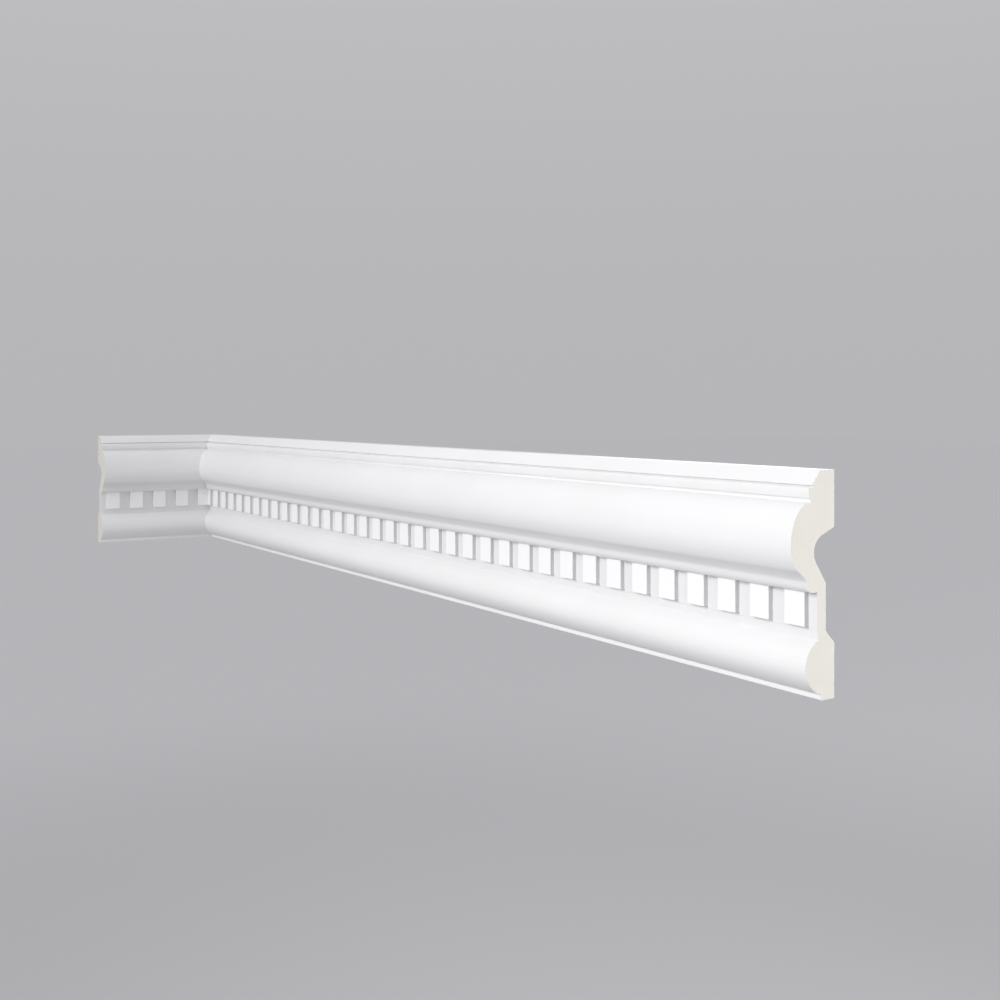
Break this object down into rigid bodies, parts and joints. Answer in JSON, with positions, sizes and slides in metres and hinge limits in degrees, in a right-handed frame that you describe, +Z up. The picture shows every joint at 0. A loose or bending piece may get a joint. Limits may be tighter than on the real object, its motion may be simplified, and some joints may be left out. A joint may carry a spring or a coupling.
{
  "type": "wall moulding",
  "caption": "Dentil wall moulding for a dado or chair rail: a long run and a short corner return that meet in an inside mitre, relief channel along the back.",
  "frame": {"origin": "on the back of the main length, at the middle of its upper flat strip, halfway along the run; both faces of the wall corner are the planes Y = 0 and X = -0.44565", "axes": "+X along the main length, away from the corner; +Y into the main wall; +Z up"},
  "size_m": [0.8914, 0.1267, 0.1099],
  "materials": {
    "white_primer": "satin white primer on rigid foam"
  },
  "bodies": {
    "root": {"main_length": "white_primer", "corner_return": "white_primer"}
  },
  "joints": []
}
